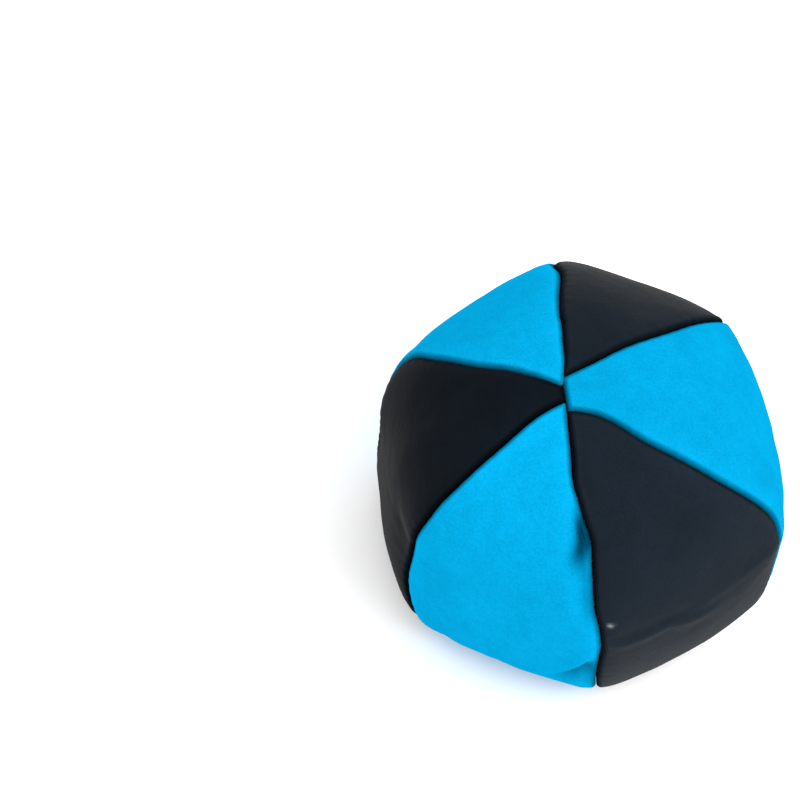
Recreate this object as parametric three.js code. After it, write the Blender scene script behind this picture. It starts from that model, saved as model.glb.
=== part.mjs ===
// A soft juggling ball: six cloth panels sewn pole to pole and filled with plastic granulate.
// Millimetres, +Z up. The origin is on the floor, under the middle of the ball.
// The ball is sewn as two halves of three panels each. One long seam, in the YZ plane, joins the
// halves through both poles, and its front stretch was closed by hand once the filling was in.

import * as THREE from "three";

const rad = THREE.MathUtils.degToRad;

// ---------- driving dimensions ----------
const CORNER_RADIUS = 31; // pole axis to a seam at the waist, the widest level
const WAIST_HEIGHT = 25.3; // floor to the waist
const CROWN_HEIGHT = 23.1; // waist to the top pole
const CROWN_LEAN = { x: -5.6, y: -2.6 }; // how far the top pole has sagged sideways
const BELLY_DEPTH = 29.9; // waist to where the lower pole would be if the base weren't pressed flat
const BASE_ROUNDING = 4; // half the height over which the side turns into the flat base
// Powers of the polar angle's sine and cosine, for the plan radius and the height. Under 1 is fuller.
const CROWN_SHAPE = { plan: 0.8, height: 1.34 };
const BELLY_SHAPE = { plan: 0.43, height: 0.68 };
const WAIST_ROUNDNESS = 0.5; // 0 is a plain hexagon in plan, 1 a circle

const CLOTH = 0.9; // thickness of the panel cloth
const SEAM_GAP = 0.25; // each panel's distance from the middle of a seam
const SEAM_VALLEY = 1.0; // depth at which two panels meet in a seam
const SEAM_ROLL = 1.5; // width over which a panel turns down into a seam
const SEAM_ALLOWANCE = 3.6; // cloth turned inwards along a seam
const LEAST_ALLOWANCE = 0.1; // what is left of it where it is trimmed away at the poles
const TRIMMED = { from: 2.5, to: 9 }; // plan radii between which it grows to its full depth
// Near the tips everything is kept under these parts of the panel's width.
const NARROW = { cloth: 0.3, valley: 0.3, roll: 0.25 };
// A point of the rounded edge, as parts of the roll's width, the valley's depth and the cloth.
const ROLL_SHOULDER = { away: 0.3, depth: 0.4, cloth: 0.8 };
const TIP_SPREAD = { right: 2.6, left: 1.1 }; // pole to where the short seams meet the long one
const TIP_FADE = Math.sin(rad(40)); // sin(polar) by which that spread has died out

const THREAD_RADIUS = 0.2;
const THREAD_CLEARANCE = 0.45;
const THREAD_SIDES = 6;
const THREAD_START = 5; // plan radius at which a short seam's thread starts and ends
// Places that a thread's curve goes through, and the straight lengths it is made of.
const SHORT_THREAD = { places: 21, lengths: 24 };
const LONG_THREAD = { upperFront: 5, back: 45, lowerFront: 14, lengths: 80 };
const CLOSING_THREAD = { places: 9, lengths: 14 };
const CLOSING = { from: 24, to: 58 }; // polar angles of the hand-sewn stretch, in degrees
const CLOSING_DEPTH = 0.2; // the closing thread's middle, below the tops of the two panels
const KNOT_RADIUS = 0.4;
const KNOT_STEP = 2; // polar angle from an end of the closing thread to its knot, in degrees

const FILL_CLEARANCE = 0.7; // filling to the inside of the cloth
const FILL_SLACK = 2.6; // filling to the inner edge of a seam's allowances
const FILL_END = 9; // plan radius of the skin's ring over the first and last ring of the filling
const FILL_NOTCH = { flat: 2.9, ramp: 5.8 }; // from a seam: the filling leaves room for its allowances
const FILL_NOTCH_LIMIT = { flat: 0.3, ramp: 0.42 }; // and the most they may be, as parts of a panel's width
const FILL_ROWS = 18;

// A seam's course, in degrees: its azimuth, its hook sideways at the top pole, its swing at the waist, and
// the bow and S-bend of its stretch on the crown. reach and sag are the parts by which its corner stands
// out at the waist and hangs out on the belly.
const SEAMS = [
  { name: "front_right", azimuth: -30, hook: 19, swing: -4, bow: -2.5, bend: -3, reach: 0.005, sag: 0.06 },
  { name: "back_right", azimuth: 30, hook: -5, swing: 8.5, bow: 2.4, bend: 1.3, reach: -0.005, sag: 0 },
  { name: "back", azimuth: 90, hook: -15, swing: -4.5, bow: -2.8, bend: -3.5, reach: 0.01, sag: -0.015 },
  { name: "back_left", azimuth: 150, hook: -4, swing: 11, bow: -4.2, bend: 3.5, reach: -0.015, sag: 0.065 },
  { name: "front_left", azimuth: 210, hook: -10, swing: -5, bow: 0.7, bend: 0.4, reach: -0.035, sag: 0.05 },
  { name: "front", azimuth: 270, hook: -4, swing: -5, bow: -1.9, bend: -0.5, reach: 0.02, sag: -0.015 },
];
const CROWN_COURSE_END = [rad(70), rad(95)]; // polar angles over which the bow and the bend die out
const HOOK_REACH = rad(10); // polar angle over which a hook dies out

// Panel i lies between seam i and the next one round. Its tip starts at these places along Y.
const PANELS = [
  { name: "panel_right", colour: "cyan", half: "right", tips: [-1, 1] },
  { name: "panel_back_right", colour: "black", half: "right", tips: [1, 1] },
  { name: "panel_back_left", colour: "cyan", half: "left", tips: [1, 1] },
  { name: "panel_left", colour: "black", half: "left", tips: [1, -1] },
  { name: "panel_front_left", colour: "cyan", half: "left", tips: [-1, -1] },
  { name: "panel_front_right", colour: "black", half: "right", tips: [-1, -1] },
];

const END_BIAS = 0.1; // how strongly rows are drawn together towards the poles
const PANEL_ROWS = 24;
const PANEL_COLUMNS = 6; // across the open cloth between the two seam rolls
const TIP_RADIUS = { point: 1.1, edge: 0.4 }; // plan radius at which a pointed or a cut-off tip starts
const STEP = 1e-4; // of a polar angle or of across, for finding directions along the skin

// ---------- materials ----------
const cloth = (colour) => new THREE.MeshStandardMaterial({ color: colour, roughness: 0.95, metalness: 0 });
const MATERIALS = {
  cyan: cloth(0x04aee8),
  black: cloth(0x1e2329),
  thread: cloth(0x10161c),
  granulate: new THREE.MeshStandardMaterial({ color: 0xe8e4d8, roughness: 0.45, metalness: 0 }),
};

// ---------- the ball's skin ----------
const lerp = THREE.MathUtils.lerp;
const smooth = THREE.MathUtils.smoothstep;
const CENTRE = new THREE.Vector3(0, 0, WAIST_HEIGHT);

function seamAzimuth(seam, polar) {
  const onCrown = 1 - smooth(polar, ...CROWN_COURSE_END);
  const crownCourse = seam.bow * Math.sin(2 * polar) ** 2 + seam.bend * Math.sin(4 * polar);
  const hook = seam.hook * Math.exp(-((polar / HOOK_REACH) ** 2));
  return rad(seam.azimuth + hook + seam.swing * Math.sin(polar) ** 4 + crownCourse * onCrown);
}

// How far out a panel stands, as a factor, between its two seams' corners.
function fullness(first, second, across, polar) {
  const onBelly = polar > Math.PI / 2 ? Math.sin(2 * polar) ** 2 : 0;
  const reach = lerp(first.reach, second.reach, across);
  const sag = lerp(first.sag, second.sag, across);
  return 1 + reach * Math.sin(polar) ** 4 + sag * onBelly;
}

function shapeAt(polar) {
  return polar < Math.PI / 2 ? CROWN_SHAPE : BELLY_SHAPE;
}

function planRadius(polar) {
  return CORNER_RADIUS * Math.max(0, Math.sin(polar)) ** shapeAt(polar).plan;
}

// The polar angle, near the top or the lower pole, at which the skin has a given plan radius.
function polarAt(radius, shape = CROWN_SHAPE) {
  const polar = Math.asin((radius / CORNER_RADIUS) ** (1 / shape.plan));
  return shape === CROWN_SHAPE ? polar : Math.PI - polar;
}

// Polar angles for t from 0 to 1, closer together towards both ends, where the skin curves most in plan.
const polarStep = (from, to, t) => lerp(from, to, t - END_BIAS * Math.sin(2 * Math.PI * t));
function polars(from, to, count) {
  return Array.from({ length: count }, (_, i) => polarStep(from, to, i / (count - 1)));
}

function height(polar) {
  const c = Math.cos(polar);
  if (c >= 0) return WAIST_HEIGHT + CROWN_HEIGHT * c ** CROWN_SHAPE.height;
  const z = WAIST_HEIGHT - BELLY_DEPTH * (-c) ** BELLY_SHAPE.height;
  if (z >= BASE_ROUNDING) return z;
  return z <= -BASE_ROUNDING ? 0 : (z + BASE_ROUNDING) ** 2 / (4 * BASE_ROUNDING);
}

// A point of the outer skin: across runs from 0 at the panel's first seam to 1 at its second.
function skin(index, across, polar) {
  const panel = PANELS[index];
  const seams = [SEAMS[index], SEAMS[(index + 1) % SEAMS.length]];
  const [first, second] = seams.map((seam) => seamAzimuth(seam, polar));
  const span = (second - first + 2 * Math.PI) % (2 * Math.PI);
  const fromMiddle = (across - 0.5) * span;
  const hexagon = Math.cos(span / 2) / Math.cos(fromMiddle);
  const radius = planRadius(polar) * lerp(hexagon, 1, WAIST_ROUNDNESS) * fullness(...seams, across, polar);
  const azimuth = first + across * span;
  const tip = lerp(...panel.tips, across) * TIP_SPREAD[panel.half];
  const spread = tip * (1 - smooth(Math.sin(polar), 0, TIP_FADE));
  const z = height(polar);
  const lean = Math.max(0, z - WAIST_HEIGHT) / CROWN_HEIGHT;
  return new THREE.Vector3(
    radius * Math.cos(azimuth) + lean * CROWN_LEAN.x,
    radius * Math.sin(azimuth) + lean * CROWN_LEAN.y + spread,
    z,
  );
}

// The direction straight in through the cloth at a point of the skin.
function inwardAt(index, across, polar) {
  const along = skin(index, across, polar + STEP).sub(skin(index, across, polar - STEP));
  const sideways = skin(index, across + STEP, polar).sub(skin(index, across - STEP, polar));
  return sideways.cross(along).normalize();
}

// A seam's own directions: inward between its two panels, and sideways to the panel that starts at it.
function seamDirections(seamIndex, polar) {
  const before = (seamIndex + PANELS.length - 1) % PANELS.length;
  const along = skin(seamIndex, 0, polar + STEP).sub(skin(seamIndex, 0, polar - STEP));
  const inward = inwardAt(seamIndex, 0, polar).add(inwardAt(before, 1, polar));
  const sideways = along.cross(inward).normalize();
  return { inward: inward.normalize(), sideways };
}

// ---------- cloth panels ----------
// A closed body between two grids of points, each grid a list of rows.
function thickSheet(outer, inner) {
  const rows = outer.length;
  const columns = outer[0].length;
  const points = [...outer.flat(), ...inner.flat()];
  const indices = [];
  const at = (side, row, column) => side * rows * columns + row * columns + column;
  const quad = (a, b, c, d) => indices.push(a, b, c, a, c, d);
  for (let row = 1; row < rows; row++) {
    for (let column = 1; column < columns; column++) {
      quad(at(0, row - 1, column - 1), at(0, row, column - 1), at(0, row, column), at(0, row - 1, column));
      quad(at(1, row - 1, column - 1), at(1, row - 1, column), at(1, row, column), at(1, row, column - 1));
    }
    quad(at(0, row - 1, 0), at(1, row - 1, 0), at(1, row, 0), at(0, row, 0));
    const last = columns - 1;
    quad(at(0, row, last), at(1, row, last), at(1, row - 1, last), at(0, row - 1, last));
  }
  for (let column = 1; column < columns; column++) {
    quad(at(0, 0, column - 1), at(0, 0, column), at(1, 0, column), at(1, 0, column - 1));
    const last = rows - 1;
    quad(at(0, last, column), at(0, last, column - 1), at(1, last, column - 1), at(1, last, column));
  }
  return new THREE.BufferGeometry().setFromPoints(points).setIndex(indices);
}

// The turned-in edge of a panel at one seam, from the allowance's inner edge to the open cloth.
function seamEdge(index, across, polar, width) {
  const seamIndex = across === 0 ? index : (index + 1) % SEAMS.length;
  const { inward, sideways } = seamDirections(seamIndex, polar);
  if (across === 1) sideways.negate();
  const thick = Math.min(CLOTH, NARROW.cloth * width);
  const valley = Math.min(SEAM_VALLEY, NARROW.valley * width);
  const roll = Math.min(SEAM_ROLL, NARROW.roll * width);
  const allowance = LEAST_ALLOWANCE + SEAM_ALLOWANCE * smooth(planRadius(polar), TRIMMED.from, TRIMMED.to);
  const tail = valley + thick + allowance;
  const shoulder = SEAM_GAP + ROLL_SHOULDER.away * roll;
  const shoulderDepth = ROLL_SHOULDER.depth * valley;
  const place = (away, depth) =>
    skin(index, across, polar).addScaledVector(sideways, away).addScaledVector(inward, depth);
  const outer = [
    place(SEAM_GAP, tail),
    place(SEAM_GAP, valley),
    place(shoulder, shoulderDepth),
  ];
  const inner = [
    place(SEAM_GAP + thick, tail),
    place(SEAM_GAP + thick, valley + thick),
    place(shoulder + ROLL_SHOULDER.cloth * thick, shoulderDepth + thick),
  ];
  return { outer, inner, thick, start: (SEAM_GAP + roll) / width };
}

function panelGeometry(index) {
  const cutOff = PANELS[index].tips[0] !== PANELS[index].tips[1];
  const tipRadius = cutOff ? TIP_RADIUS.edge : TIP_RADIUS.point;
  const top = polarAt(tipRadius);
  const bottom = polarAt(tipRadius, BELLY_SHAPE);
  const outer = [];
  const inner = [];
  for (let row = 0; row <= PANEL_ROWS; row++) {
    const polar = polarStep(top, bottom, row / PANEL_ROWS);
    const width = skin(index, 0, polar).distanceTo(skin(index, 1, polar));
    const first = seamEdge(index, 0, polar, width);
    const second = seamEdge(index, 1, polar, width);
    const open = [];
    const openInner = [];
    for (let column = 0; column <= PANEL_COLUMNS; column++) {
      const across = lerp(first.start, 1 - second.start, column / PANEL_COLUMNS);
      const point = skin(index, across, polar);
      open.push(point);
      openInner.push(point.clone().addScaledVector(inwardAt(index, across, polar), first.thick));
    }
    outer.push([...first.outer, ...open, ...second.outer.reverse()]);
    inner.push([...first.inner, ...openInner, ...second.inner.reverse()]);
  }
  return thickSheet(outer, inner);
}

// ---------- threads ----------
// A thread along seam i, on the inside of one of its two allowances, or in the valley where side is 0.
function seamPoint(seamIndex, side, polar, depth) {
  const { inward, sideways } = seamDirections(seamIndex, polar);
  const away = side * (SEAM_GAP + CLOTH + THREAD_CLEARANCE + THREAD_RADIUS);
  return skin(seamIndex, 0, polar).addScaledVector(sideways, away).addScaledVector(inward, depth);
}

function threadGeometry(points, steps) {
  const corners = Array.from({ length: THREAD_SIDES }, (_, i) => {
    const angle = (i / THREAD_SIDES) * 2 * Math.PI;
    return new THREE.Vector2(THREAD_RADIUS * Math.cos(angle), THREAD_RADIUS * Math.sin(angle));
  });
  const path = new THREE.CatmullRomCurve3(points);
  const settings = { steps, extrudePath: path, bevelEnabled: false };
  return new THREE.ExtrudeGeometry(new THREE.Shape(corners), settings);
}

const INNER_THREAD_DEPTH = SEAM_VALLEY + CLOTH + 2 * THREAD_CLEARANCE + THREAD_RADIUS;
const THREAD_TOP = polarAt(THREAD_START);
const THREAD_BOTTOM = polarAt(THREAD_START, BELLY_SHAPE);
const FRONT = SEAMS.findIndex((seam) => seam.name === "front");
const BACK = SEAMS.findIndex((seam) => seam.name === "back");

function innerThreadPoints(seamIndex, side, from, to, count) {
  return polars(from, to, count).map((polar) => seamPoint(seamIndex, side, polar, INNER_THREAD_DEPTH));
}

function shortSeamThread(seamIndex, side) {
  const points = innerThreadPoints(seamIndex, side, THREAD_TOP, THREAD_BOTTOM, SHORT_THREAD.places);
  return threadGeometry(points, SHORT_THREAD.lengths);
}

// The long seam's thread runs from the closing's upper end over the top pole, down the back,
// under the lower pole and up the front to the closing's lower end.
function longSeamThread(side) {
  const points = [
    ...innerThreadPoints(FRONT, side, rad(CLOSING.from), THREAD_TOP, LONG_THREAD.upperFront),
    ...innerThreadPoints(BACK, -side, THREAD_TOP, THREAD_BOTTOM, LONG_THREAD.back),
    ...innerThreadPoints(FRONT, side, THREAD_BOTTOM, rad(CLOSING.to), LONG_THREAD.lowerFront),
  ];
  return threadGeometry(points, LONG_THREAD.lengths);
}

const valleyPoint = (polar) => seamPoint(FRONT, 0, polar, CLOSING_DEPTH);

function closingThread() {
  const points = polars(rad(CLOSING.from), rad(CLOSING.to), CLOSING_THREAD.places).map(valleyPoint);
  return threadGeometry(points, CLOSING_THREAD.lengths);
}

// A knot lies just beyond an end of the closing thread, where step is the polar angle on to it.
function closingKnot(end, step) {
  const place = valleyPoint(rad(end + step));
  return new THREE.SphereGeometry(KNOT_RADIUS, 10, 6).translate(place.x, place.y, place.z);
}

// ---------- filling ----------
// The granulate as one body: the space inside the panels, with a notch along each seam for its allowances.
function fillingGeometry() {
  const rows = polars(polarAt(FILL_END), polarAt(FILL_END, BELLY_SHAPE), FILL_ROWS);
  const notch = SEAM_VALLEY + SEAM_ALLOWANCE + FILL_SLACK;
  const loops = rows.map((polar) =>
    PANELS.flatMap((_, index) => {
      const width = skin(index, 0, polar).distanceTo(skin(index, 1, polar));
      const flat = Math.min(FILL_NOTCH.flat / width, FILL_NOTCH_LIMIT.flat);
      const ramp = Math.min(FILL_NOTCH.ramp / width, FILL_NOTCH_LIMIT.ramp);
      return [0, flat, ramp, 0.5, 1 - ramp, 1 - flat].map((across) => {
        const fromSeam = Math.min(across, 1 - across) * width;
        const cut = notch * (1 - smooth(fromSeam, FILL_NOTCH.flat, FILL_NOTCH.ramp));
        const point = skin(index, across, polar);
        const inside = CENTRE.clone().sub(point).normalize();
        return point.addScaledVector(inside, CLOTH + FILL_CLEARANCE + cut);
      });
    }),
  );
  const count = loops[0].length;
  const poles = [loops[0], loops.at(-1)].map((loop) =>
    loop.reduce((sum, point) => sum.add(point), new THREE.Vector3()).divideScalar(count),
  );
  const points = [...loops.flat(), ...poles];
  const indices = [];
  const top = loops.length * count;
  for (let i = 0; i < count; i++) {
    const next = (i + 1) % count;
    indices.push(top, i, next);
    for (let row = 1; row < loops.length; row++) {
      const upper = (row - 1) * count;
      const lower = row * count;
      indices.push(upper + i, lower + i, lower + next, upper + i, lower + next, upper + next);
    }
    const last = (loops.length - 1) * count;
    indices.push(top + 1, last + next, last + i);
  }
  return new THREE.BufferGeometry().setFromPoints(points).setIndex(indices);
}

// ---------- assembly ----------
const ball = new THREE.Group();

function add(name, geometry, material) {
  geometry.computeVertexNormals();
  const mesh = new THREE.Mesh(geometry, material);
  mesh.name = name;
  ball.add(mesh);
}

PANELS.forEach((panel, index) => {
  add(`${panel.name}_${panel.colour}`, panelGeometry(index), MATERIALS[panel.colour]);
});

SEAMS.forEach((seam, index) => {
  if (index === FRONT || index === BACK) return;
  add(`needle_thread_${seam.name}`, shortSeamThread(index, 1), MATERIALS.thread);
  add(`bobbin_thread_${seam.name}`, shortSeamThread(index, -1), MATERIALS.thread);
});
add("needle_thread_long_seam", longSeamThread(1), MATERIALS.thread);
add("bobbin_thread_long_seam", longSeamThread(-1), MATERIALS.thread);

add("closing_thread", closingThread(), MATERIALS.thread);
add("closing_knot_upper", closingKnot(CLOSING.from, -KNOT_STEP), MATERIALS.thread);
add("closing_knot_lower", closingKnot(CLOSING.to, KNOT_STEP), MATERIALS.thread);
add("granulate_filling", fillingGeometry(), MATERIALS.granulate);

// The crown's lean and the seams' swing leave the box a little to one side: it is centred over the origin.
const middle = new THREE.Box3().setFromObject(ball).getCenter(new THREE.Vector3());
ball.children.forEach((mesh) => mesh.geometry.translate(-middle.x, -middle.y, 0));

export default ball;
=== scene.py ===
"""A soft juggling ball: six velour panels, sewn pole to pole and filled with loose granulate.

The ball lies slumped on the floor. It is sewn as two halves of three panels each. One long seam
through both poles joins the halves, and its front stretch was closed by hand after filling.
The shapes are worked out in millimetres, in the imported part's frame, and made in metres.
"""

import math
import random
from collections import namedtuple

import bpy
import numpy as np
from mathutils import Matrix, Vector, noise
from mathutils.bvhtree import BVHTree


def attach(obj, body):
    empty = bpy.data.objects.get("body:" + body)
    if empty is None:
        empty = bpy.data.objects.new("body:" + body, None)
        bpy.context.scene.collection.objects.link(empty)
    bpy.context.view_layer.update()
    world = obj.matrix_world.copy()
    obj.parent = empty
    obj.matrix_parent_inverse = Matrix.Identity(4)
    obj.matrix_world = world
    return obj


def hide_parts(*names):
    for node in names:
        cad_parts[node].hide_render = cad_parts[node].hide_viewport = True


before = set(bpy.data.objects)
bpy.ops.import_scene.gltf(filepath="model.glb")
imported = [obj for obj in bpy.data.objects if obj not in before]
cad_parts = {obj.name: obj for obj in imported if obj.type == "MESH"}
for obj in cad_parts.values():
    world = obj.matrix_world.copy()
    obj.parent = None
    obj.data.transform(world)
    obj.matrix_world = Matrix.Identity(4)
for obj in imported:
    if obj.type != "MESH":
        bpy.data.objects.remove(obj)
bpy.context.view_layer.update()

MM = 0.001

# ---------- the skin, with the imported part's own dimensions ----------
CORNER_RADIUS = 31.0  # pole axis to a seam at the waist, the widest level
WAIST_HEIGHT = 25.3  # floor to the waist
CROWN_HEIGHT = 23.1  # waist to the top pole
CROWN_LEAN = (-5.6, -2.6)  # how far the top pole has sagged sideways
BELLY_DEPTH = 29.9  # waist to where the lower pole would be if the base weren't pressed flat
BASE_ROUNDING = 4.0  # half the height over which the side turns into the flat base
CROWN_PLAN, CROWN_RISE = 0.8, 1.34  # powers of sin and cos of the polar angle: under 1 is fuller
BELLY_PLAN, BELLY_RISE = 0.43, 0.68
WAIST_ROUNDNESS = 0.5  # 0 is a plain hexagon in plan, 1 a circle

CLOTH = 0.75  # thickness
SEAM_GAP = 0.06  # each panel's distance from the middle of a seam
SEAM_ROLL = 0.9  # radius over which a panel turns down into a seam
LEAST_ALLOWANCE = 0.3  # depth of cloth turned in at a seam, at the poles
SEAM_ALLOWANCE = 3.2  # how much deeper it is turned in away from them
TRIMMED = (2.0, 8.0)  # plan radii between which it grows to its full depth
TIP_FADE = math.sin(math.radians(40))  # sin(polar) by which the tips' spread has died out
HOOK_REACH = math.radians(10)  # polar angle over which a seam's hook at the top pole dies out
CROWN_COURSE_END = np.radians((70, 95))  # polar angles over which its bow and bend die out
TIP_RADIUS = {"point": 0.5, "edge": 0.02}  # plan radius at which a pointed or a cut-off tip starts

# A seam's course, in degrees: its azimuth, its hook sideways at the top pole, its swing at the waist,
# and the bow and S-bend of its stretch on the crown. reach and sag are parts by which its corner stands
# out at the waist and hangs out on the belly.
Seam = namedtuple("Seam", "name azimuth hook swing bow bend reach sag")
SEAMS = [
    Seam("front_right", -30, 19, -4, -2.5, -3, 0.005, 0.06),
    Seam("back_right", 30, -5, 8.5, 2.4, 1.3, -0.005, 0),
    Seam("back", 90, -15, -4.5, -2.8, -3.5, 0.01, -0.015),
    Seam("back_left", 150, -4, 11, -4.2, 3.5, -0.015, 0.065),
    Seam("front_left", 210, -10, -5, 0.7, 0.4, -0.035, 0.05),
    Seam("front", 270, -4, -5, -1.9, -0.5, 0.02, -0.015),
]
SHORT_SEAMS = [0, 1, 3, 4]
BACK, FRONT = 2, 5

# Panel i lies between seam i and the next one round. Its tip starts at these places along Y.
PANELS = [
    ("panel_right", "cyan", (-2.6, 2.6)),
    ("panel_back_right", "black", (2.6, 2.6)),
    ("panel_back_left", "cyan", (1.1, 1.1)),
    ("panel_left", "black", (1.1, -1.1)),
    ("panel_front_left", "cyan", (-1.1, -1.1)),
    ("panel_front_right", "black", (-2.6, -2.6)),
]

# Where the stitches and the slumped filling pull a seam off its plain course: polar angle, reach and
# size of each pull, in degrees. The front seam has the most, because part of it is sewn by hand.
SEAM_PULLS = {
    "front": [(17, 8, -3.3), (38, 6, 1.7), (47, 6, 0.5), (62, 7, -0.5)],
    "back": [(15, 5, -2.3), (31, 6, 0.6), (47, 6, -0.8)],
    "back_left": [(12, 5, -1.3), (41, 7, 0.8)],
    "front_left": [(47, 8, -0.6), (103, 12, -2.3)],
}


def smooth(x, low, high):
    """0 up to low, 1 from high, and a soft step between them."""
    t = np.clip((x - low) / (high - low), 0, 1)
    return t * t * (3 - 2 * t)


def bump(x, centre, width):
    """1 at the centre, falling off softly on both sides."""
    return np.exp(-(((x - centre) / width) ** 2))


def seam_azimuth(seam, polar):
    s = SEAMS[seam % len(SEAMS)]
    on_crown = 1 - smooth(polar, *CROWN_COURSE_END)
    crown_course = s.bow * np.sin(2 * polar) ** 2 + s.bend * np.sin(4 * polar)
    course = s.azimuth + s.hook * bump(polar, 0, HOOK_REACH) + s.swing * np.sin(polar) ** 4
    pulls = SEAM_PULLS.get(s.name, [])
    pulled = sum(pull * bump(np.degrees(polar), place, reach) for place, reach, pull in pulls)
    return np.radians(course + crown_course * on_crown + pulled)


def fullness(panel, across, polar):
    """How far out a panel stands, as a factor, between the reach and sag of its two seams' corners."""
    first, second = SEAMS[panel % len(SEAMS)], SEAMS[(panel + 1) % len(SEAMS)]
    reach = first.reach + (second.reach - first.reach) * across
    sag = first.sag + (second.sag - first.sag) * across
    on_belly = np.where(polar > math.pi / 2, np.sin(2 * polar) ** 2, 0)
    return 1 + reach * np.sin(polar) ** 4 + sag * on_belly


def plan_radius(polar):
    power = np.where(polar < math.pi / 2, CROWN_PLAN, BELLY_PLAN)
    return CORNER_RADIUS * np.clip(np.sin(polar), 0, None) ** power


def height(polar):
    c = np.cos(polar)
    crown = WAIST_HEIGHT + CROWN_HEIGHT * np.clip(c, 0, None) ** CROWN_RISE
    belly = WAIST_HEIGHT - BELLY_DEPTH * np.clip(-c, 0, None) ** BELLY_RISE
    rounded = np.clip(belly + BASE_ROUNDING, 0, None) ** 2 / (4 * BASE_ROUNDING)
    return np.where(c >= 0, crown, np.where(belly >= BASE_ROUNDING, belly, rounded))


def skin_from_axis(panel, across, polar):
    """Points of the outer skin, from the pole axis. across is 0 at a panel's first seam, 1 at the next."""
    first = seam_azimuth(panel, polar)
    span = (seam_azimuth(panel + 1, polar) - first) % (2 * math.pi)
    hexagon = np.cos(span / 2) / np.cos((across - 0.5) * span)
    outline = hexagon + (1 - hexagon) * WAIST_ROUNDNESS
    radius = plan_radius(polar) * outline * fullness(panel, across, polar)
    azimuth = first + across * span
    low_tip, high_tip = PANELS[panel % len(PANELS)][2]
    spread = (low_tip + (high_tip - low_tip) * across) * (1 - smooth(np.sin(polar), 0, TIP_FADE))
    z = height(polar)
    lean = np.clip(z - WAIST_HEIGHT, 0, None) / CROWN_HEIGHT
    x = radius * np.cos(azimuth) + lean * CROWN_LEAN[0]
    y = radius * np.sin(azimuth) + lean * CROWN_LEAN[1] + spread
    return np.stack(np.broadcast_arrays(x, y, z), axis=-1)


WIDE_POLARS = np.linspace(0.2, 2.9, 200)  # all the polar angles but those near the poles
BOX_COLUMNS = 21


def pole_axis_place():
    """Where the pole axis stands, so that the skin's box is centred over the origin as the part's is."""
    polar, across = np.meshgrid(WIDE_POLARS, np.linspace(0, 1, BOX_COLUMNS))
    grids = [skin_from_axis(panel, across, polar).reshape(-1, 3) for panel in range(len(PANELS))]
    points = np.concatenate(grids)
    middle = (points.min(axis=0) + points.max(axis=0)) / 2
    return np.array([-middle[0], -middle[1], 0.0])


AXIS = pole_axis_place()


def skin(panel, across, polar):
    """Points of the outer skin, in the part's frame."""
    return skin_from_axis(panel, across, polar) + AXIS


# ---------- camera ----------
CAMERA_DISTANCE = 18 * CORNER_RADIUS
CAMERA_AZIMUTH, CAMERA_ELEVATION, CAMERA_ROLL = -18.8, 61.3, 11.1  # degrees
CAMERA_CLIP = 10.0  # nearest distance that shows
BALL_IN_FRAME = (0.233, -0.065)  # the waist's middle, from the frame's centre, in frame widths
FRAME_WIDTH_AT_BALL = 3.72787 * CORNER_RADIUS
SENSOR = 36.0


def make_camera():
    azimuth, elevation, roll = map(math.radians, (CAMERA_AZIMUTH, CAMERA_ELEVATION, CAMERA_ROLL))
    right = Vector((math.cos(azimuth), math.sin(azimuth), 0))
    level_back = Vector((math.sin(azimuth), -math.cos(azimuth), 0))
    back = level_back * math.cos(elevation) + Vector((0, 0, math.sin(elevation)))
    up = back.cross(right)
    level = Matrix((right, up, back)).transposed()
    data = bpy.data.cameras.new("camera")
    data.sensor_width = SENSOR
    data.lens = SENSOR * CAMERA_DISTANCE / FRAME_WIDTH_AT_BALL
    data.clip_start = CAMERA_CLIP * MM
    camera = bpy.data.objects.new("camera", data)
    bpy.context.collection.objects.link(camera)
    bpy.context.scene.camera = camera
    target = Vector(AXIS + [0, 0, WAIST_HEIGHT]) * MM
    camera.location = target + back * CAMERA_DISTANCE * MM
    # The camera turns a little, so that the ball shows right of the frame's centre.
    reach = FRAME_WIDTH_AT_BALL / CAMERA_DISTANCE
    sight = Vector((BALL_IN_FRAME[0] * reach, BALL_IN_FRAME[1] * reach, -1))
    turn = sight.rotation_difference(Vector((0, 0, -1))).to_matrix()
    rotation = level @ Matrix.Rotation(roll, 3, "Z") @ turn
    camera.rotation_euler = rotation.to_euler()


make_camera()


# ---------- mesh helpers ----------
def make_mesh(name, points, faces, material):
    """A smooth-shaded object from points in millimetres."""
    mesh = bpy.data.meshes.new(name)
    mesh.from_pydata((np.asarray(points) * MM).tolist(), [], faces)
    mesh.update()
    mesh.shade_smooth()
    mesh.materials.append(material)
    obj = bpy.data.objects.new(name, mesh)
    bpy.context.collection.objects.link(obj)
    return obj


def grid_faces(rows, columns, first=0):
    """Faces of a grid whose points are numbered along each row, from first."""
    faces = []
    for row in range(rows - 1):
        for column in range(columns - 1):
            corner = first + row * columns + column
            faces.append((corner, corner + columns, corner + columns + 1, corner + 1))
    return faces


def unit(vectors):
    return vectors / np.linalg.norm(vectors, axis=-1, keepdims=True)


ASIDE = (0.31, 0.17, 0.94)  # a direction that no thread runs along, to start a tube's rings from


def tube(path, radius, sides=8):
    """Points and faces of a round, closed tube along a path of points."""
    path = np.asarray(path)
    forward = unit(np.gradient(path, axis=0))
    side = unit(np.cross(forward, ASIDE))
    up = np.cross(forward, side)
    turn = np.linspace(0, 2 * math.pi, sides, endpoint=False)[:, None, None]
    ring = path + radius * (np.cos(turn) * side + np.sin(turn) * up)
    points = ring.transpose(1, 0, 2).reshape(-1, 3)
    last = (len(path) - 1) * sides
    faces = []
    for start in range(0, last, sides):
        for k in range(sides):
            here, beside = start + k, start + (k + 1) % sides
            faces.append((here, beside, beside + sides, here + sides))
    faces.append(tuple(range(sides))[::-1])
    faces.append(tuple(range(last, last + sides)))
    return points, faces


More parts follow.
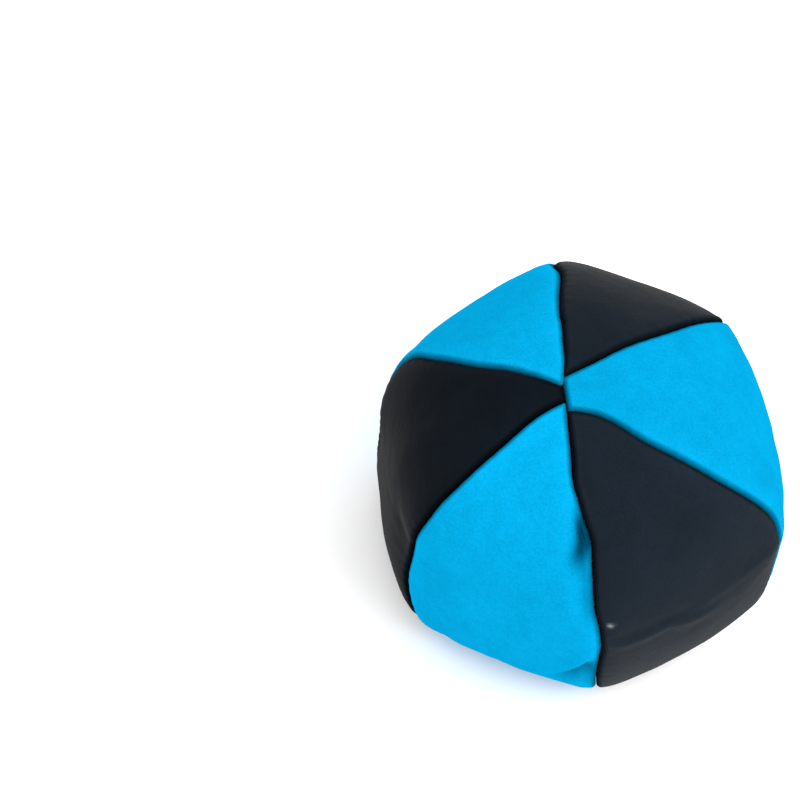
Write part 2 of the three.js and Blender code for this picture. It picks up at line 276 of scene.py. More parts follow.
# ---------- materials ----------
class Nodes:
    """A material's node tree, with short ways to add the nodes used here."""

    def __init__(self, name):
        self.material = bpy.data.materials.new(name)
        self.material.use_nodes = True
        self.tree = self.material.node_tree
        self.shader = self.tree.nodes["Principled BSDF"]
        self.place = self.add("ShaderNodeTexCoord").outputs["Object"]

    def add(self, kind, **settings):
        node = self.tree.nodes.new(kind)
        for name, value in settings.items():
            setattr(node, name, value)
        return node

    def link(self, source, target):
        self.tree.links.new(source, target)

    def set(self, **values):
        """Sets the shader's own sockets: set(Sheen_Weight=0.5) sets "Sheen Weight"."""
        for name, value in values.items():
            self.shader.inputs[name.replace("_", " ")].default_value = value

    def noise(self, size, detail=3.0, stretch=(1, 1, 1)):
        """Noise from 0 to 1 with features of about this size, in millimetres."""
        mapping = self.add("ShaderNodeMapping")
        mapping.inputs["Scale"].default_value = stretch
        self.link(self.place, mapping.inputs["Vector"])
        node = self.add("ShaderNodeTexNoise")
        node.inputs["Scale"].default_value = 1 / (size * MM)
        node.inputs["Detail"].default_value = detail
        self.link(mapping.outputs["Vector"], node.inputs["Vector"])
        return node.outputs["Fac"]

    def attribute(self, name):
        return self.add("ShaderNodeAttribute", attribute_name=name).outputs["Fac"]

    def ramp(self, factor, stops):
        """A colour ramp. stops are (place, colour)."""
        node = self.add("ShaderNodeValToRGB")
        elements = node.color_ramp.elements
        while len(elements) < len(stops):
            elements.new(0.5)
        for element, (place, colour) in zip(elements, stops):
            element.position = place
            element.color = (*colour, 1)
        self.link(factor, node.inputs["Fac"])
        return node.outputs["Color"]

    def grey(self, factor, stops):
        """A ramp of greys. stops are (place, brightness)."""
        return self.ramp(factor, [(place, (value, value, value)) for place, value in stops])

    def multiply(self, first, second):
        node = self.add("ShaderNodeMix", data_type="RGBA", blend_type="MULTIPLY", clamp_result=False)
        node.inputs["Factor"].default_value = 1
        self.link(first, node.inputs["A"])
        self.link(second, node.inputs["B"])
        return node.outputs["Result"]

    def bump(self, height, depth, strength=1.0, under=None):
        """A bump of this depth in millimetres, on top of another one."""
        node = self.add("ShaderNodeBump")
        node.inputs["Distance"].default_value = depth * MM
        node.inputs["Strength"].default_value = strength
        self.link(height, node.inputs["Height"])
        if under:
            self.link(under, node.inputs["Normal"])
        return node.outputs["Normal"]


# Values that each point of a panel carries for its material.
SEAM_DISTANCE = "seam_distance"  # from 0 in a seam to 1 at SEAM_REACH from it
PAINTED_FOLD_SHADE = "painted_fold_shade"  # painted shade in a fold, by how deep the point lies in it: from 0 to 1 at the depth where that shade is full
PAINTED_PANEL_SHADE = "painted_panel_shade"  # painted shade by panel: how bright each panel is painted for how the light falls on it and its nap
LINT = "lint"  # how much a fleck of lint hides

SEAM_REACH = 4.0
# Painted shade in a seam and a painted highlight along its edge: brightness by distance from the seam.
SEAM_PAINTED_SHADE_AND_HIGHLIGHT = [(0.0, 0.3), (0.12, 0.6), (0.22, 1.08), (0.4, 1.04), (1.0, 1.0)]
SHEEN_FROM = 0.3  # distance, as a part of SEAM_REACH, from which the sheen is full
# Painted shade in folds: the fold depth at which it is full, and the brightness by depth.
PAINTED_FOLD_SHADE_DEPTH = 2.0
PAINTED_FOLD_SHADES = [(0.0, 1.0), (0.5, 0.75), (1.0, 0.3)]
# Painted shade by panel, for how the light falls on each panel and on its nap.
PAINTED_PANEL_SHADES = {
    "panel_right": 0.84,
    "panel_back_right": 0.66,
    "panel_back_left": 0.95,
    "panel_left": 0.36,
    "panel_front_left": 1.0,
    "panel_front_right": 0.8,
}
LINT_COLOUR = (0.23, 0.29, 0.26)
LINT_SIZE = 0.35
LINT_PLACE = {"panel_front_right": (0.05, 70.5)}  # across and polar angle, by panel

# The velour's own grain: sizes of its patches, mottle, pile, lumps and tufts, and the depths of the
# last two.
NAP_PATCH = 11
MOTTLE = 2.2
PILE = 0.35
LUMP, LUMP_DEPTH = 1.6, 0.1
TUFT, TUFT_DEPTH = 0.3, 0.08

# The other materials' grain, sizes first.
THREAD_FIBRE, THREAD_FIBRE_DEPTH = 0.12, 0.05
PELLET_TINT, PELLET_GLOSS = 4.0, 0.8
PELLET_GRAIN, PELLET_GRAIN_DEPTH = 0.5, 0.04
PELLET_SHADES = ((0.62, 0.6, 0.52), (0.8, 0.79, 0.74))
FLOOR_PATCH = 60
FLOOR_SHADES = [(0.0, 0.94), (1.0, 0.96)]


def velour(name, dark, light, sheen, sheen_weight):
    """Short-pile cloth. Its nap lies in soft patches. It has painted shade in a seam, where it has no
    sheen, and a painted highlight along the seam's edge, and painted shade in its folds and by panel. A
    fleck of lint may be caught in its nap."""
    n = Nodes(name)
    nap = n.noise(NAP_PATCH, detail=4, stretch=(1, 1, 0.6))
    colour = n.ramp(nap, [(0.3, dark), (0.7, light)])
    mottle = n.grey(n.noise(MOTTLE), [(0.3, 0.95), (0.7, 1.04)])
    pile = n.grey(n.noise(PILE), [(0.35, 0.92), (0.65, 1.06)])
    # painted shade in folds
    painted_fold_shade = n.grey(n.attribute(PAINTED_FOLD_SHADE), PAINTED_FOLD_SHADES)
    # painted shade in the seam and painted highlight along its edge
    seam_painted_light = n.grey(n.attribute(SEAM_DISTANCE), SEAM_PAINTED_SHADE_AND_HIGHLIGHT)
    # painted shade by panel
    panel_shade_paint = n.grey(n.attribute(PAINTED_PANEL_SHADE), [(0.0, 0.0), (1.0, 1.0)])
    colour = n.multiply(n.multiply(colour, mottle), n.multiply(pile, seam_painted_light))
    colour = n.multiply(colour, n.multiply(panel_shade_paint, painted_fold_shade))
    lint = n.add("ShaderNodeMix", data_type="RGBA")
    lint.inputs["B"].default_value = (*LINT_COLOUR, 1)
    n.link(colour, lint.inputs["A"])
    n.link(n.attribute(LINT), lint.inputs["Factor"])
    n.link(lint.outputs["Result"], n.shader.inputs["Base Color"])
    lumpy = n.bump(n.noise(LUMP), LUMP_DEPTH, strength=0.6)
    tufted = n.bump(n.noise(TUFT), TUFT_DEPTH, strength=0.7, under=lumpy)
    n.link(tufted, n.shader.inputs["Normal"])
    n.set(Roughness=0.95, Specular_IOR_Level=0.0)
    n.set(Sheen_Roughness=0.4, Sheen_Tint=(*sheen, 1))
    weight = n.grey(n.attribute(SEAM_DISTANCE), [(0.0, 0.0), (SHEEN_FROM, sheen_weight)])
    n.link(weight, n.shader.inputs["Sheen Weight"])
    return n.material


def thread_material(name, dark, light):
    """Twisted polyester thread."""
    n = Nodes(name)
    fibres = n.noise(THREAD_FIBRE, detail=2, stretch=(1, 1, 0.4))
    n.link(n.ramp(fibres, [(0.3, dark), (0.7, light)]), n.shader.inputs["Base Color"])
    n.link(n.bump(fibres, THREAD_FIBRE_DEPTH), n.shader.inputs["Normal"])
    n.set(Roughness=0.6, Sheen_Weight=0.2, Sheen_Roughness=0.4)
    return n.material


def granulate_material():
    """Milky recycled plastic granulate, each pellet a little different."""
    n = Nodes("granulate")
    dark, light = PELLET_SHADES
    n.link(n.ramp(n.noise(PELLET_TINT), [(0.3, dark), (0.7, light)]), n.shader.inputs["Base Color"])
    n.link(n.grey(n.noise(PELLET_GLOSS), [(0.3, 0.3), (0.7, 0.5)]), n.shader.inputs["Roughness"])
    n.link(n.bump(n.noise(PELLET_GRAIN), PELLET_GRAIN_DEPTH), n.shader.inputs["Normal"])
    n.set(Subsurface_Weight=0.15, Subsurface_Scale=1.5 * MM)
    return n.material


def floor_material():
    """Plain matte paper, almost white."""
    n = Nodes("studio_floor")
    n.link(n.grey(n.noise(FLOOR_PATCH), FLOOR_SHADES), n.shader.inputs["Base Color"])
    n.set(Roughness=0.9, Specular_IOR_Level=0.1)
    return n.material


materials = {
    "cyan": velour(
        "cyan_velour",
        dark=(0.001, 0.25, 0.479),
        light=(0.001, 0.275, 0.521),
        sheen=(0.0, 0.5, 0.9),
        sheen_weight=0.18,
    ),
    "black": velour(
        "black_velour",
        dark=(0.008, 0.013, 0.019),
        light=(0.011, 0.0165, 0.0245),
        sheen=(0.5, 0.48, 0.45),
        sheen_weight=0.14,
    ),
    "thread": thread_material(
        "seam_thread",
        dark=(0.004, 0.006, 0.010),
        light=(0.0072, 0.0108, 0.018),
    ),
    "granulate": granulate_material(),
}


# ---------- the panels' smooth shape ----------
STEP = 1e-5  # of a polar angle or of across, for directions along the skin
DENSE_PLACES = 500  # on each side of the waist, for lengths along a line from pole to pole
WIDTH_PLACES = 13


def inward_at(panel, across, polar):
    """The direction into the ball, square to the skin."""
    along = skin(panel, across, polar + STEP) - skin(panel, across, polar - STEP)
    sideways = skin(panel, across + STEP, polar) - skin(panel, across - STEP, polar)
    return unit(np.cross(sideways, along))


def seam_inward(seam, polar):
    """The direction into the ball on a seam, between its two panels' own directions."""
    return unit(inward_at(seam, 0.0, polar) + inward_at(seam - 1, 1.0, polar))


def polar_of_tip(radius, power):
    """The polar angle, from the nearer pole, at which the skin has this plan radius."""
    return math.asin((radius / CORNER_RADIUS) ** (1 / power))


def length_along(points):
    """How far each point of a line is along it."""
    steps = np.linalg.norm(np.diff(points, axis=0), axis=1)
    return np.concatenate([[0], np.cumsum(steps)])


def spaced_polars(line, count, top, bottom):
    """Polar angles evenly spaced along a line on the skin, between plan radii near the two poles."""
    down = np.geomspace(polar_of_tip(top, CROWN_PLAN), math.pi / 2, DENSE_PLACES)
    up = math.pi - np.geomspace(polar_of_tip(bottom, BELLY_PLAN), math.pi / 2, DENSE_PLACES)
    dense = np.concatenate([down, up[-2::-1]])
    length = length_along(line(dense))
    return np.interp(np.linspace(0, length[-1], count), length, dense)


def panel_polars(panel, count):
    low_tip, high_tip = PANELS[panel][2]
    tip = TIP_RADIUS["point" if low_tip == high_tip else "edge"]
    return spaced_polars(lambda polar: skin(panel, 0.5, polar), count, tip, tip)


def panel_width(panel, polar):
    """The panel's width along the skin, from seam to seam."""
    points = np.stack([skin(panel, across, polar) for across in np.linspace(0, 1, WIDTH_PLACES)])
    return np.linalg.norm(np.diff(points, axis=0), axis=-1).sum(axis=0)


# ---------- cloth pass ----------
CLOTH_ROWS, CLOTH_COLUMNS = 49, 17
CLOTH_SCALE = 20  # the pass runs at this scale, where the solver's own settings behave as cloth
CLOTH_SLACK = 0.8  # how far in the middle of a panel starts
CLOTH_GROWTH = 0.01  # part by which the cut cloth is larger than the space it spans
CLOTH_PRESSURE = 4
CLOTH_FRAMES = 20
CLOTH_CAP = 1.2  # furthest a place may end up from the skin
FLOOR_HOLD = 0.8  # height up to which the floor holds the cloth


def add_cloth(obj, held):
    """Makes the mesh a cloth under pressure, whose held points stay where they are."""
    group = obj.vertex_groups.new(name="held")
    group.add([int(i) for i in held], 1.0, "REPLACE")
    cloth = obj.modifiers.new("cloth", "CLOTH")
    cloth.settings.vertex_group_mass = group.name
    cloth.settings.use_pressure = True
    cloth.settings.uniform_pressure_force = CLOTH_PRESSURE
    cloth.settings.shrink_min = -CLOTH_GROWTH
    cloth.settings.effector_weights.gravity = 0
    cloth.collision_settings.use_collision = False


def press_panels_out():
    """The filling presses each panel out between its seams, which hold it, as do the tips and the floor.

    Gives how far out each place of a coarse grid ends up, by panel, row and column."""
    across = np.linspace(0, 1, CLOTH_COLUMNS)
    along = np.linspace(0, 1, CLOTH_ROWS)[:, None]
    start, inward, slack = [], [], []
    for panel in range(len(PANELS)):
        polar = panel_polars(panel, CLOTH_ROWS)[:, None]
        start.append(skin(panel, across, polar))
        inward.append(inward_at(panel, across, polar))
        slack.append(CLOTH_SLACK * np.sin(math.pi * across) * np.sin(math.pi * along))
    start, inward, slack = np.array(start), np.array(inward), np.array(slack)
    inner = start + inward * slack[..., None]
    held = start[..., 2] < FLOOR_HOLD
    held[:, :, [0, -1]] = True
    held[:, [0, -1], :] = True
    faces = []
    for panel in range(len(PANELS)):
        faces += grid_faces(CLOTH_ROWS, CLOTH_COLUMNS, first=panel * CLOTH_ROWS * CLOTH_COLUMNS)
    obj = make_mesh("cloth_pass", inner.reshape(-1, 3) * CLOTH_SCALE, faces, materials["cyan"])
    add_cloth(obj, np.flatnonzero(held))
    for step in range(1, CLOTH_FRAMES + 1):
        bpy.context.scene.frame_set(step)
    moved = obj.evaluated_get(bpy.context.evaluated_depsgraph_get()).data
    places = np.zeros(inner.size)
    moved.vertices.foreach_get("co", places)
    places = places.reshape(inner.shape) / (MM * CLOTH_SCALE)
    bpy.data.objects.remove(obj)
    bpy.context.scene.frame_set(1)
    out = -((places - start) * inward).sum(axis=-1)
    return np.clip(out, -CLOTH_CAP, CLOTH_CAP)


def spline_weights(places, count):
    """Weights of a smooth cubic curve, at places from 0 to 1, along a row of values with 0 at its ends."""
    x = np.clip(places, 0, 1) * (count - 1)
    first = np.clip(np.floor(x), 0, count - 2).astype(int)
    t = x - first
    basis = [(1 - t) ** 3, 3 * t**3 - 6 * t**2 + 4, 1 + 3 * t + 3 * t**2 - 3 * t**3, t**3]
    weights = np.zeros((*x.shape, count))
    for offset, value in zip((-1, 0, 1, 2), basis):
        index = first + offset
        inside = (index >= 0) & (index < count)
        mirrored = np.where(index < 0, -index, 2 * (count - 1) - index)
        target = np.where(inside, index, mirrored)
        part = np.where(inside, value, -value) / 6
        np.add.at(weights.reshape(-1, count), (np.arange(x.size), target.ravel()), part.ravel())
    return weights


pressed_out = press_panels_out()


def pressed_at(panel, across):
    """How far out the filling presses each place of a panel's grid of rows and columns."""
    rows = spline_weights(np.linspace(0, 1, len(across)), CLOTH_ROWS) @ pressed_out[panel]
    return np.einsum("rcw,rw->rc", spline_weights(across, CLOTH_COLUMNS), rows)


# ---------- folds, dimples and lumps ----------
# Each fold runs between two places on a panel, (across, polar in degrees), and has a width and depth in
# millimetres. A negative depth stands out.
Fold = namedtuple("Fold", "start end width depth")
FOLDS = {
    "panel_front_left": [
        Fold((0.99, 29), (0.88, 49), 1.3, 2.0),  # the dimple beside the closing stitches
        Fold((1.00, 24), (1.00, 42), 1.3, 1.4),
        Fold((0.95, 42), (0.97, 72), 1.7, 0.8),  # its shallow end, which runs on beside the seam
        Fold((0.82, 50), (0.86, 72), 2.2, -0.25),
        Fold((0.99, 88), (0.79, 107), 0.9, -0.6),  # the crease in the belly at the front corner
        Fold((1.00, 92), (0.82, 114), 1.3, 1.5),
        Fold((1.00, 94), (0.96, 114), 1.2, 0.9),
        Fold((0.30, 80), (0.12, 98), 3.0, 0.25),
    ],
    "panel_front_right": [
        Fold((0.03, 6), (0.06, 27), 2.0, 0.6),  # the seam's wide valley near the pole
        Fold((0.02, 80), (0.50, 87), 1.6, 0.25),  # the crease along the waist
        Fold((0.00, 87), (0.60, 92.5), 1.2, -0.4),
        Fold((0.60, 70), (0.92, 84), 3.0, 0.25),
    ],
    "panel_left": [
        Fold((0.60, 30), (0.62, 68), 3.0, -0.35),
        Fold((0.36, 40), (0.30, 66), 3.5, 0.25),
        Fold((0.75, 78), (0.95, 96), 2.2, 0.35),
        Fold((0.00, 108), (0.36, 80), 6.0, 0.6),
        Fold((0.20, 112), (0.55, 92), 5.0, 0.5),
    ],
    "panel_right": [
        Fold((0.20, 55), (0.08, 84), 2.6, 0.25),
        Fold((0.85, 60), (0.94, 86), 2.4, 0.3),
    ],
    "panel_back_right": [
        Fold((0.12, 60), (0.05, 88), 2.4, 0.3),
        Fold((0.90, 74), (0.70, 96), 2.6, 0.35),
    ],
    "panel_back_left": [
        Fold((0.10, 66), (0.30, 92), 2.6, 0.35),
        Fold((0.86, 58), (0.94, 84), 2.4, 0.25),
    ],
}


FOLD_STEPS = 24
FOLD_FADE = 0.7  # power: a fold under 1 keeps its depth for more of its length
LUMPS = [(0.10, 9), (0.05, 3.2)]  # rise and size of the soft lumps


def fold_depth(panel, points, fold):
    """How far one fold moves each point inward, deepest halfway along it."""
    t = np.linspace(0, 1, FOLD_STEPS)
    across = fold.start[0] + (fold.end[0] - fold.start[0]) * t
    polar = np.radians(fold.start[1] + (fold.end[1] - fold.start[1]) * t)
    line = skin(panel, across, polar)
    fading = fold.depth * np.sin(math.pi * t) ** FOLD_FADE
    depth = np.zeros(points.shape[:-1])
    for place, size in zip(line, fading):
        here = size * bump(np.linalg.norm(points - place, axis=-1), 0, fold.width)
        depth = np.where(np.abs(here) > np.abs(depth), here, depth)
    return depth


def lumps(points):
    """Soft lumps where pellets press through the cloth."""
    values = [
        sum(rise * noise.noise(Vector(point) / size) for rise, size in LUMPS)
        for point in points.reshape(-1, 3).tolist()
    ]
    return np.array(values).reshape(points.shape[:-1])


# ---------- panels ----------
ROWS = 210
OPEN_COLUMNS = 56  # across the open cloth, between the two rolls
ROLL_ANGLES = np.radians(np.linspace(0, 90, 8)[:-1])  # of the columns on a roll
ALLOWANCE_STEPS = np.array([1.0, 0.5, 0.15])  # of the columns on an allowance, as parts of its depth
TIP_ROLL = 0.5  # a seam's roll at the poles, where the panels are narrow
TIP_THICKNESS = 0.15  # part of the cloth's thickness that is left at the tips
TIP_END = 6.0  # plan radius by which a tip's roll, thickness and pressure reach their full size
MOST_GAP = 0.2  # part of a narrow tip's width that a seam's gap may take
SEAM_PULL = (0.28, 3.2)  # how far the stitches pull the cloth in, and how wide
PUCKER = (0.04, 2.4)  # depth and length of the ripples that the stitches make
SEAM_TURN = 2.2  # distance over which a panel's inward direction turns to its seam's

# The relief comes in between these plan radii and over this height above the floor. Folds and lumps
# also come in between these distances from a seam.
RELIEF_RADII = (1.0, 8.0)
RELIEF_HEIGHT = 3.0
FOLDS_IN = (0.35, 1.6)
LUMPS_IN = (0, 2.0)


def roll_depth(distance, roll):
    """How far below the skin the cloth lies at a distance from a seam, as it turns down into it."""
    left = np.clip(roll - distance, 0, roll)
    return roll - np.sqrt(roll**2 - left**2)


def seam_relief(distance, length):
    """The pull and the small puckers beside a seam. length is measured along the seam."""
    pull, reach = SEAM_PULL
    ripple, pitch = PUCKER
    near = (1 - smooth(distance, 0, reach)) ** 2
    return near * (pull + ripple * np.sin(2 * math.pi * length / pitch))


def long_seam_distance(panel, polar, points):
    """Distance to the long seam from a middle panel's cut-off tips, and a great distance on others."""
    low_tip, high_tip = PANELS[panel][2]
    if low_tip == high_tip:
        return np.full(points.shape[:-1], SEAM_REACH * 2)
    lean = np.clip(height(polar) - WAIST_HEIGHT, 0, None) / CROWN_HEIGHT * CROWN_LEAN[0]
    return np.abs(points[..., 0] - AXIS[0] - lean)


def panel_grid(panel):
    """The panel's outer face, rows from pole to pole, with each point's seam distance and fold depth."""
    polar = panel_polars(panel, ROWS)[:, None]
    width = panel_width(panel, polar[:, 0])[:, None]
    radius = plan_radius(polar)
    roll = TIP_ROLL + (SEAM_ROLL - TIP_ROLL) * smooth(radius, 0, TIP_END)
    gap = np.minimum(SEAM_GAP, MOST_GAP * width)
    rolled = np.minimum(roll, 0.5 * width - gap)
    edge = gap + rolled * (1 - np.cos(ROLL_ANGLES))
    start = gap + rolled
    open_cloth = start + (width - 2 * start) * np.linspace(0, 1, OPEN_COLUMNS)
    distance = np.concatenate([edge, open_cloth, (width - edge)[:, ::-1]], axis=1)
    across = distance / width
    from_first, from_second = distance, width - distance
    points = skin(panel, across, polar)
    from_long = long_seam_distance(panel, polar, points)
    nearest = np.minimum(np.minimum(from_first, from_second), from_long)
    depth = roll_depth(nearest, roll)
    length = length_along(points[:, 0])[:, None]
    open_part = smooth(radius, *RELIEF_RADII) * smooth(points[..., 2], 0, RELIEF_HEIGHT)
    depth = depth + open_part * (seam_relief(from_first, length) + seam_relief(from_second, length))
    folded = sum(fold_depth(panel, points, fold) for fold in FOLDS[PANELS[panel][0]])
    relief = folded * smooth(nearest, *FOLDS_IN) + smooth(nearest, *LUMPS_IN) * lumps(points)
    depth = depth + open_part * relief
    depth = depth - pressed_at(panel, across) * smooth(radius, 0, TIP_END)
    own = inward_at(panel, across, polar)
    first, second = seam_inward(panel, polar), seam_inward(panel + 1, polar)
    near_first = 1 - smooth(from_first, 0, SEAM_TURN)[..., None]
    near_second = 1 - smooth(from_second, 0, SEAM_TURN)[..., None]
    inward = unit(own * (1 - near_first) * (1 - near_second) + first * near_first + second * near_second)
    points = points + inward * depth[..., None]
    points[..., 2] = np.clip(points[..., 2], 0, None)
    allowance = SEAM_ALLOWANCE * smooth(radius, *TRIMMED) + LEAST_ALLOWANCE
    steps = (allowance * ALLOWANCE_STEPS)[..., None]
    left = points[:, :1] + first * steps
    right = points[:, -1:] + second * steps[:, ::-1]
    hidden = np.zeros((ROWS, len(ALLOWANCE_STEPS)))
    grid = np.concatenate([left, points, right], axis=1)
    seam_distance = np.concatenate([hidden, nearest, hidden], axis=1)
    fold_depths = np.concatenate([hidden, folded, hidden], axis=1)
    return grid, seam_distance, fold_depths


def add_shade(obj, name, values):
    """Gives each point of the mesh a value that its material reads."""
    obj.data.attributes.new(name, "FLOAT", "POINT").data.foreach_set("value", values.ravel())


def lint_cover(panel, points):
    """A fleck of lint caught in the nap of a panel, and nothing on the others."""
    if PANELS[panel][0] not in LINT_PLACE:
        return np.zeros(points.shape[:-1])
    across, degrees = LINT_PLACE[PANELS[panel][0]]
    fleck = skin(panel, across, math.radians(degrees))
    return bump(np.linalg.norm(points - fleck, axis=-1), 0, LINT_SIZE)


def add_thickness(obj, rows, columns, radius):
    """Gives the cloth its thickness, inward, less of it towards the tips."""
    group = obj.vertex_groups.new(name="thickness")
    parts = TIP_THICKNESS + (1 - TIP_THICKNESS) * smooth(radius, TIP_RADIUS["point"], TIP_END)
    for row in range(rows):
        group.add(range(row * columns, (row + 1) * columns), float(parts[row]), "REPLACE")
    solid = obj.modifiers.new("thickness", "SOLIDIFY")
    solid.thickness = CLOTH * MM
    solid.offset = -1
    solid.vertex_group = group.name


def make_panel(panel):
    name, colour, _ = PANELS[panel]
    grid, distance, folded = panel_grid(panel)
    rows, columns, _ = grid.shape
    obj = make_mesh(f"{name}_velour", grid.reshape(-1, 3), grid_faces(rows, columns), materials[colour])
    add_shade(obj, SEAM_DISTANCE, np.clip(distance / SEAM_REACH, 0, 1))
    # painted shade in the folds, by their depth
    add_shade(obj, PAINTED_FOLD_SHADE, np.clip(folded / PAINTED_FOLD_SHADE_DEPTH, 0, 1))
    # painted shade by panel
    add_shade(obj, PAINTED_PANEL_SHADE, np.full(distance.shape, PAINTED_PANEL_SHADES[name]))
    add_shade(obj, LINT, lint_cover(panel, grid))
    add_thickness(obj, rows, columns, plan_radius(panel_polars(panel, ROWS)))
    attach(obj, "root")
    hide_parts(f"{name}_{colour}")


for panel in range(len(PANELS)):
    make_panel(panel)


# ---------- threads ----------
THREAD_RADIUS = 0.15
STITCH = 2.4  # length of a stitch
STITCH_DEPTH = 2.2  # below the skin, on the allowances
STITCH_FACE = SEAM_GAP + CLOTH + THREAD_RADIUS  # sideways, where a thread lies on its allowance
PLACES_PER_STITCH = 8
THREAD_START = 5  # plan radius, near each pole, at which a seam's stitches start and end
SEAM_PLACES = 600  # along a seam, for lengths
CLOSING = (24, 58)  # polar angles of the hand-sewn stretch, in degrees
CLOSING_PITCH = 3.2
CLOSING_DEPTH = 1.1  # below the skin
CLOSING_SWAY = 0.45  # to each side of the seam's middle
CLOSING_STEEPNESS = 2.5  # of its crossings from side to side
KNOT_PLACES = 60
KNOT_SIZE = 0.14
KNOT_SHAPE = (1, 0.5, 0.8)  # along the seam, sideways and inward
KNOT_BEYOND = 2  # degrees past each end of the hand-sewn stretch


def seam_frame(seam, polar):
    """Points on a seam, with the directions inward and sideways to the panel that starts at it."""
    place = skin(seam, 0.0, polar)
    along = unit(skin(seam, 0.0, polar + STEP) - skin(seam, 0.0, polar - STEP))
    inward = seam_inward(seam, polar)
    return place, inward, unit(np.cross(along, inward))


def seam_polars(seam, start, end, pitch):
    """Polar angles from start to end, a given length apart along a seam, to the nearest whole step."""
    dense = np.linspace(start, end, SEAM_PLACES)
    length = length_along(skin(seam, 0.0, dense))
    steps = max(2, round(length[-1] / pitch)) * PLACES_PER_STITCH
    return np.interp(np.linspace(0, length[-1], steps + 1), length, dense)


def stitched_line(seam, side, start, end):
    """One thread of a lockstitch: it lies on its own face and dips into the cloth at every hole."""
    polar = seam_polars(seam, start, end, STITCH)
    place, inward, sideways = seam_frame(seam, polar)
    in_stitch = np.arange(len(polar)) % PLACES_PER_STITCH / PLACES_PER_STITCH
    lift = np.sin(math.pi * in_stitch) ** 0.5
    away = side * (THREAD_RADIUS + (STITCH_FACE - THREAD_RADIUS) * lift)
    return place + inward * STITCH_DEPTH + sideways * away[:, None]


def ladder_line():
    """The closing thread: it crosses the front seam's valley from panel to panel, deep between them."""
    polar = seam_polars(FRONT, *np.radians(CLOSING), CLOSING_PITCH)
    place, inward, sideways = seam_frame(FRONT, polar)
    phase = np.arange(len(polar)) / PLACES_PER_STITCH * math.pi
    away = CLOSING_SWAY * np.tanh(CLOSING_STEEPNESS * np.sin(phase))
    return place + inward * CLOSING_DEPTH + sideways * away[:, None]


def knot_line(polar_degrees):
    """A small overhand knot that lies in the front seam's valley."""
    place, inward, sideways = seam_frame(FRONT, np.array(math.radians(polar_degrees)))
    along = np.cross(inward, sideways)
    t = np.linspace(0, 2 * math.pi, KNOT_PLACES)[:, None]
    trefoil = [np.sin(t) + 2 * np.sin(2 * t), np.cos(t) - 2 * np.cos(2 * t), -np.sin(3 * t)]
    directions = (along, sideways, inward)
    loops = sum(part * turn * way for part, turn, way in zip(KNOT_SHAPE, trefoil, directions))
    return place + inward * CLOSING_DEPTH + KNOT_SIZE * loops


def add_thread(name, node, line):
    """A piece of thread along a line, which stands for one of the part's nodes."""
    points, faces = tube(line, THREAD_RADIUS)
    obj = make_mesh(name, points, faces, materials["thread"])
    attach(obj, "root")
    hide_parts(node)


def make_lockstitch(kind, side):
    """One of the two threads of every machine-sewn seam. side is 1 or -1, for its side of the seam."""
    top = polar_of_tip(THREAD_START, CROWN_PLAN)
    bottom = math.pi - polar_of_tip(THREAD_START, BELLY_PLAN)
    for seam in SHORT_SEAMS:
        seam_name = SEAMS[seam].name
        line = stitched_line(seam, side, top, bottom)
        add_thread(f"{kind}_stitches_{seam_name}", f"{kind}_{seam_name}", line)
    front_upper = stitched_line(FRONT, side, math.radians(CLOSING[0]), top)
    back = stitched_line(BACK, -side, top, bottom)
    front_lower = stitched_line(FRONT, side, bottom, math.radians(CLOSING[1]))
    long_line = np.concatenate([front_upper, back, front_lower])
    add_thread(f"{kind}_stitches_long_seam", f"{kind}_long_seam", long_line)


make_lockstitch("needle_thread", 1)
make_lockstitch("bobbin_thread", -1)
add_thread("closing_stitches", "closing_thread", ladder_line())
add_thread("closing_overhand_knot_upper", "closing_knot_upper", knot_line(CLOSING[0] - KNOT_BEYOND))
add_thread("closing_overhand_knot_lower", "closing_knot_lower", knot_line(CLOSING[1] + KNOT_BEYOND))


# ---------- granulate ----------
PELLET_SPACING = 3.3
PELLET_SIZE = (1.45, 1.45, 0.95)  # half axes
PELLET_SIZES = (0.92, 1.0)  # smallest and largest, as parts of that
PELLET_JITTER = 0.12
PELLET_CLEARANCE = 1.6  # from a pellet's middle to the filling's surface
PELLET_RINGS, PELLET_SIDES = 3, 7
PELLET_SEED = 7
LATTICE_SPARE = 1.5  # how much further than the ball's radius the lattice reaches


def filling_inside_test():
    """Tells whether a point, in millimetres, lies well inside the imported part's filling.

    The filling is seen whole from its middle, so nothing of its surface hides a point that is inside."""
    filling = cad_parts["granulate_filling"]
    corners = [filling.matrix_world @ v.co for v in filling.data.vertices]
    tree = BVHTree.FromPolygons(corners, [tuple(p.vertices) for p in filling.data.polygons])
    middle = Vector((0, 0, WAIST_HEIGHT)) * MM

    def inside(point):
        target = Vector(point) * MM
        if tree.ray_cast(middle, target - middle, (target - middle).length)[0]:
            return False
        return tree.find_nearest(target)[3] > PELLET_CLEARANCE * MM

    return inside


def lattice():
    """Places packed as closely as balls pack, over the whole of the ball."""
    reach = int(CORNER_RADIUS / PELLET_SPACING * LATTICE_SPARE)
    half = PELLET_SPACING / math.sqrt(2)
    for i in range(-reach, reach):
        for j in range(-reach, reach):
            for k in range(-reach, reach):
                if (i + j + k) % 2 == 0:
                    yield np.array([i * half, j * half, k * half + WAIST_HEIGHT])


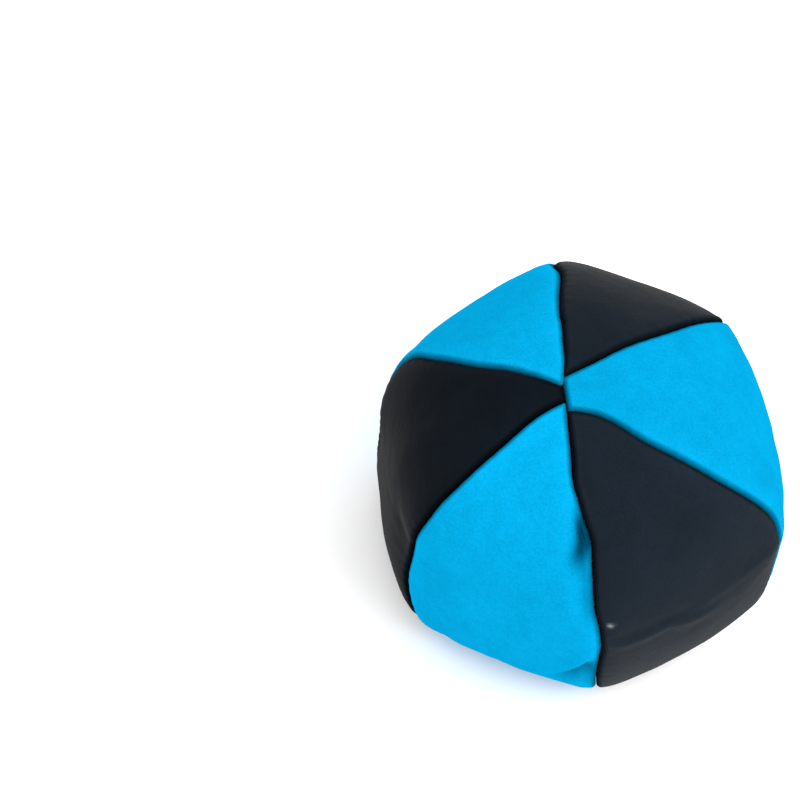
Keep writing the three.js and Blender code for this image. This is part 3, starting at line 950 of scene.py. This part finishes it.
def pellet_shape():
    """A smooth lens-shaped pellet: rings of points between two ends."""
    sides = PELLET_SIDES
    points = [(0, 0, 1)]
    for ring in range(1, PELLET_RINGS + 1):
        polar = math.pi * ring / (PELLET_RINGS + 1)
        radius = math.sin(polar)
        for k in range(sides):
            turn = 2 * math.pi * (k + 0.5 * ring) / sides
            points.append((radius * math.cos(turn), radius * math.sin(turn), math.cos(polar)))
    points.append((0, 0, -1))
    last_point = len(points) - 1
    faces = [(0, 1 + k, 1 + (k + 1) % sides) for k in range(sides)]
    for upper in range(1, last_point - sides, sides):
        lower = upper + sides
        for k in range(sides):
            beside = (k + 1) % sides
            faces.append((upper + k, lower + k, upper + beside))
            faces.append((upper + beside, lower + k, lower + beside))
    last_ring = last_point - sides
    faces += [(last_ring + k, last_point, last_ring + (k + 1) % sides) for k in range(sides)]
    return np.array(points) * PELLET_SIZE, faces


def make_granulate():
    chance = random.Random(PELLET_SEED)
    inside = filling_inside_test()
    shape, shape_faces = pellet_shape()
    points, faces = [], []
    for place in lattice():
        place = place + [chance.uniform(-1, 1) * PELLET_JITTER for _ in range(3)]
        if not inside(place):
            continue
        turned = Matrix.Rotation(chance.uniform(0, 2 * math.pi), 3, "Z")
        turned = Matrix.Rotation(chance.uniform(0, math.pi), 3, "X") @ turned
        size = chance.uniform(*PELLET_SIZES)
        first = len(points) * len(shape)
        points.append(place + size * shape @ np.array(turned).T)
        faces.extend(tuple(first + v for v in face) for face in shape_faces)
    obj = make_mesh("granulate_pellets", np.concatenate(points), faces, materials["granulate"])
    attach(obj, "root")
    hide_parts("granulate_filling")


make_granulate()


# ---------- studio ----------
WORLD_STRENGTH = 1.4
LIGHT_PLACE = Vector((0.35, -0.2, 0.5))  # in metres
LIGHT_WIDTH = 0.5
LIGHT_POWER = 2.8
FLOOR_HALF_WIDTH = 3000
FLOOR_DROP = 0.05  # how far the floor lies below the ball's base, so that the two don't overlap


def make_world():
    world = bpy.data.worlds.new("studio")
    world.use_nodes = True
    background = world.node_tree.nodes["Background"]
    background.inputs["Color"].default_value = (1, 1, 1, 1)
    background.inputs["Strength"].default_value = WORLD_STRENGTH
    bpy.context.scene.world = world


def make_light():
    data = bpy.data.lights.new("softbox", "AREA")
    data.shape = "DISK"
    data.size = LIGHT_WIDTH
    data.energy = LIGHT_POWER
    light = bpy.data.objects.new("softbox", data)
    bpy.context.collection.objects.link(light)
    light.location = LIGHT_PLACE
    light.rotation_euler = (-LIGHT_PLACE).to_track_quat("-Z", "Y").to_euler()


def make_floor():
    half, low = FLOOR_HALF_WIDTH, -FLOOR_DROP
    corners = [(-half, -half, low), (half, -half, low), (half, half, low), (-half, half, low)]
    floor = make_mesh("floor", corners, [(0, 1, 2, 3)], floor_material())


make_world()
make_light()
make_floor()
bpy.context.scene.view_settings.view_transform = "Standard"
